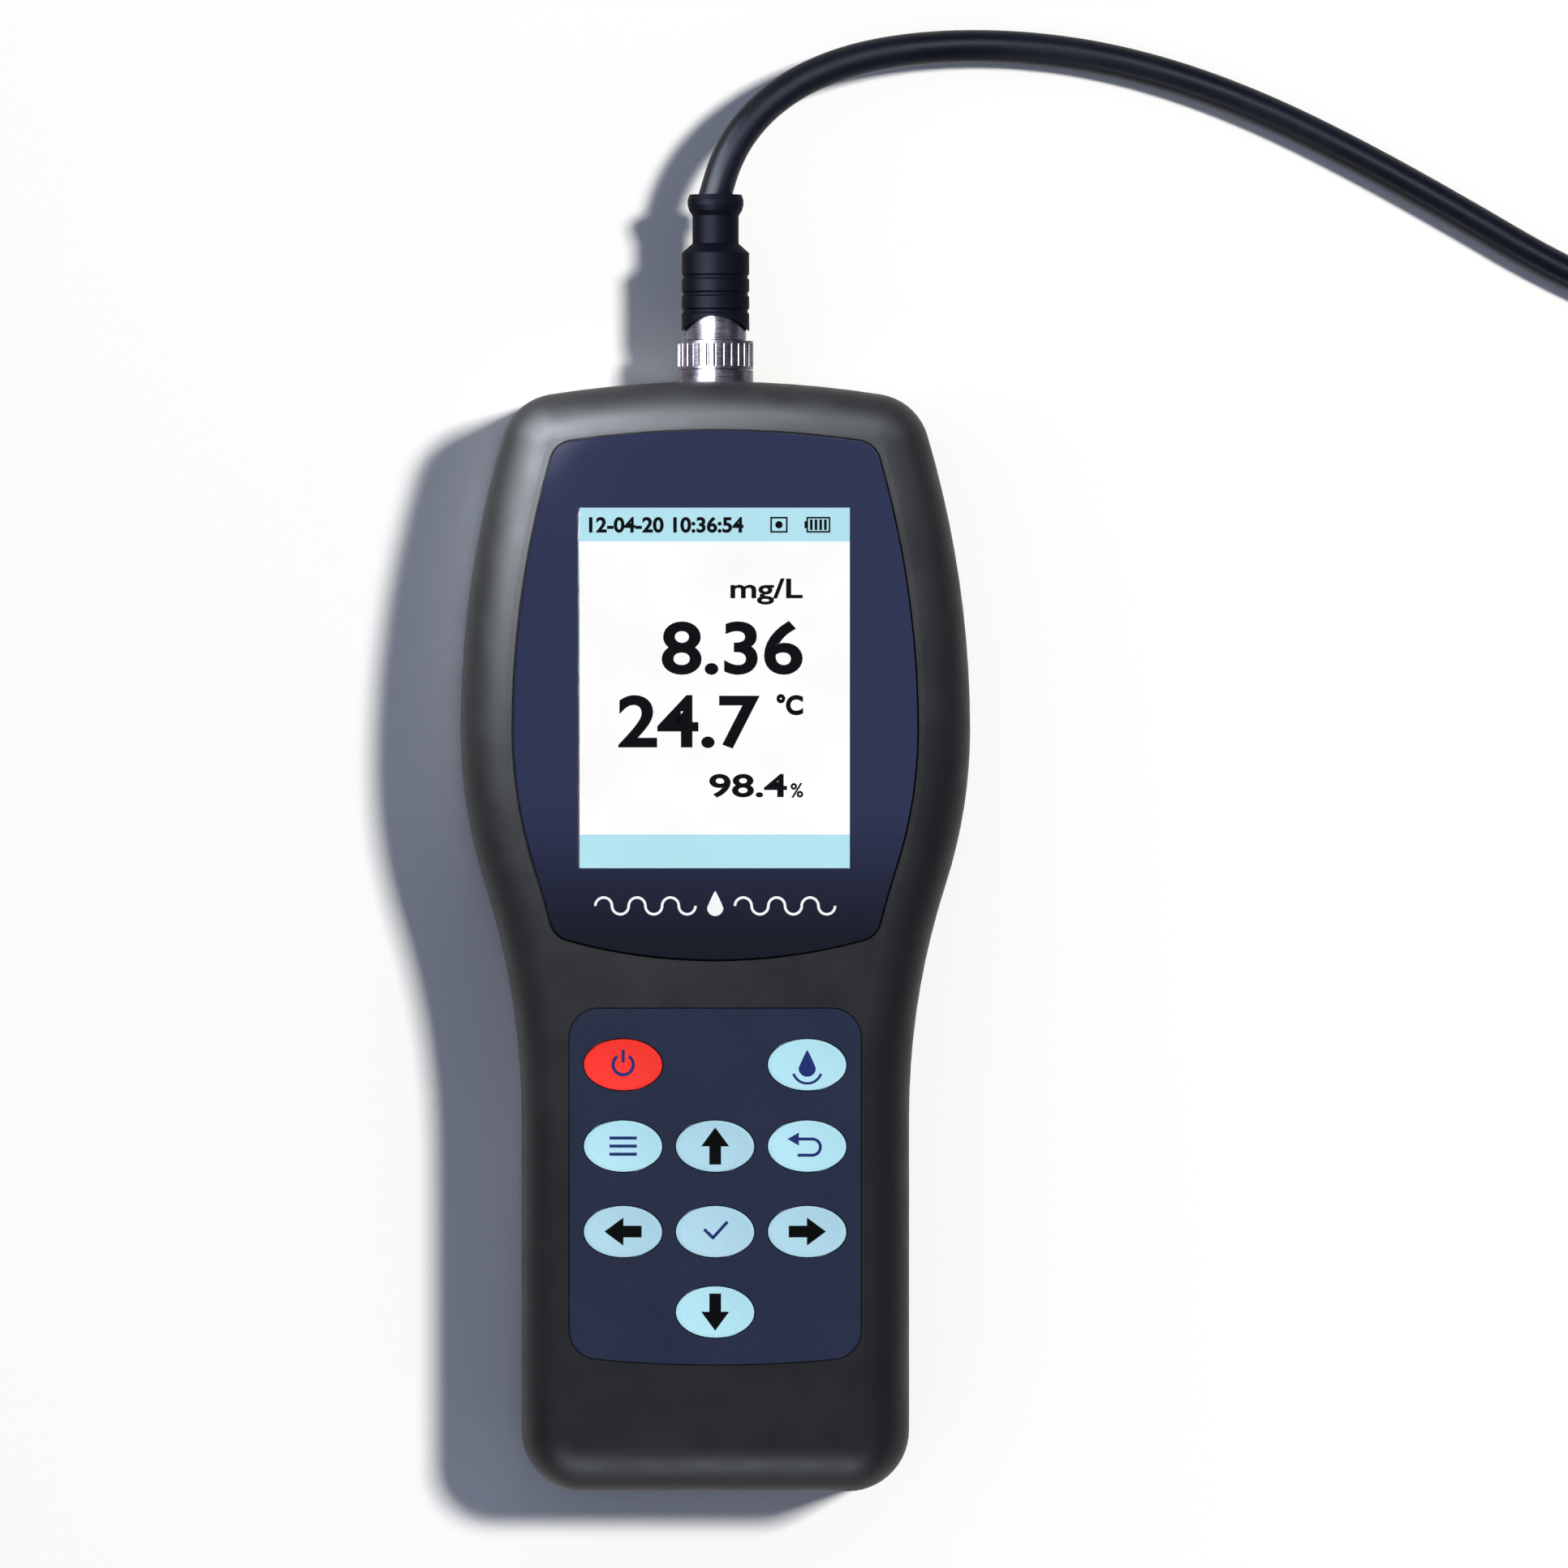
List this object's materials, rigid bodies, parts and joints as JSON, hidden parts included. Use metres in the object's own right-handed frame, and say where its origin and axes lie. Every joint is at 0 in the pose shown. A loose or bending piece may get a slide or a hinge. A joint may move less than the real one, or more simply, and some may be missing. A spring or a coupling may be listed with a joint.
{
  "type": "dissolved oxygen meter",
  "caption": "Hand-held meter with waisted grip, colour display, oval keypad and round top socket, a screw-coupled cable plugged in and a dissolved oxygen probe on its far end.",
  "frame": {"origin": "middle of the flat back face that the meter lies on, halfway along the housing", "axes": "+Z out of the screen and keys, +Y towards the connector end, +X to the right seen from the front"},
  "size_m": [0.3223, 0.2906, 0.036],
  "materials": {
    "housing_plastic": "satin black moulded plastic",
    "seal_rubber": "matt",
    "lens_acrylic": "polished, navy print behind",
    "screen_glass": "lit display",
    "sheet_steel": "plated",
    "white_plastic": "matt",
    "panel_film": "matt printed film",
    "board_laminate": "solder mask",
    "switch_plastic": "matt",
    "cell_can": "printed can",
    "wire_red": "matt",
    "wire_black": "matt",
    "nickel_brass": "nickel plated brass",
    "gold_pin": "gold plated",
    "plug_rubber": "satin moulded",
    "cable_jacket": "satin jacket",
    "probe_plastic": "satin",
    "probe_cap_plastic": "matt",
    "sensor_film": "matt film",
    "key_red": "satin",
    "key_light_blue": "satin",
    "key_grey_blue": "satin"
  },
  "bodies": {
    "housing": {"front_shell": "housing_plastic", "rear_shell": "housing_plastic", "case_gasket": "seal_rubber", "display_lens": "lens_acrylic", "lcd_frame": "sheet_steel", "lcd_glass": "screen_glass", "lcd_backlight": "white_plastic", "lcd_carrier": "white_plastic", "keypad_panel": "panel_film", "main_board": "board_laminate", "key_switches": "switch_plastic", "board_screws": "sheet_steel", "buzzer": "switch_plastic", "processor": "switch_plastic", "socket_header": "white_plastic", "clock_cell": "sheet_steel", "case_screws": "sheet_steel", "battery_cells": "cell_can", "battery_contacts_upper": "sheet_steel", "battery_contacts_lower": "sheet_steel", "battery_springs": "sheet_steel", "battery_lead_plus": "wire_red", "battery_lead_minus": "wire_black", "socket_shell": "nickel_brass", "socket_nut": "nickel_brass", "socket_insert": "switch_plastic", "socket_pins": "gold_pin", "socket_harness": "wire_black", "plug_core": "switch_plastic", "plug_collar": "nickel_brass", "plug_grip": "plug_rubber", "cable_boot": "plug_rubber", "sensor_cable": "cable_jacket", "cable_coil": "cable_jacket", "probe_lead": "cable_jacket", "probe_boot": "plug_rubber", "probe_body": "probe_plastic", "probe_cap": "probe_cap_plastic", "probe_sensor": "sensor_film"},
    "door": {"battery_door": "housing_plastic"},
    "nut": {"coupling_nut": "nickel_brass"},
    "key_power": {"key_power": "key_red"},
    "key_measure": {"key_measure": "key_light_blue"},
    "key_menu": {"key_menu": "key_light_blue"},
    "key_up": {"key_up": "key_grey_blue"},
    "key_escape": {"key_escape": "key_light_blue"},
    "key_left": {"key_left": "key_grey_blue"},
    "key_enter": {"key_enter": "key_grey_blue"},
    "key_right": {"key_right": "key_grey_blue"},
    "key_down": {"key_down": "key_light_blue"}
  },
  "joints": [
    {"name": "press_power", "type": "slide", "parent": "housing", "child": "key_power", "axis": [0, 0, -1], "range_m": [0, 0.0008], "stiffness_N_per_m": 400},
    {"name": "press_measure", "type": "slide", "parent": "housing", "child": "key_measure", "axis": [0, 0, -1], "range_m": [0, 0.0008], "stiffness_N_per_m": 400},
    {"name": "press_menu", "type": "slide", "parent": "housing", "child": "key_menu", "axis": [0, 0, -1], "range_m": [0, 0.0008], "stiffness_N_per_m": 400},
    {"name": "press_up", "type": "slide", "parent": "housing", "child": "key_up", "axis": [0, 0, -1], "range_m": [0, 0.0008], "stiffness_N_per_m": 400},
    {"name": "press_escape", "type": "slide", "parent": "housing", "child": "key_escape", "axis": [0, 0, -1], "range_m": [0, 0.0008], "stiffness_N_per_m": 400},
    {"name": "press_left", "type": "slide", "parent": "housing", "child": "key_left", "axis": [0, 0, -1], "range_m": [0, 0.0008], "stiffness_N_per_m": 400},
    {"name": "press_enter", "type": "slide", "parent": "housing", "child": "key_enter", "axis": [0, 0, -1], "range_m": [0, 0.0008], "stiffness_N_per_m": 400},
    {"name": "press_right", "type": "slide", "parent": "housing", "child": "key_right", "axis": [0, 0, -1], "range_m": [0, 0.0008], "stiffness_N_per_m": 400},
    {"name": "press_down", "type": "slide", "parent": "housing", "child": "key_down", "axis": [0, 0, -1], "range_m": [0, 0.0008], "stiffness_N_per_m": 400},
    {"name": "battery_door_slide", "type": "slide", "parent": "housing", "child": "door", "axis": [0, -1, 0], "range_m": [0, 0.06]},
    {"name": "coupling_nut_turn", "type": "hinge", "parent": "housing", "child": "nut", "pos_m": [0, 0.1152, 0.018], "axis": [0, 1, 0], "continuous": true}
  ]
}
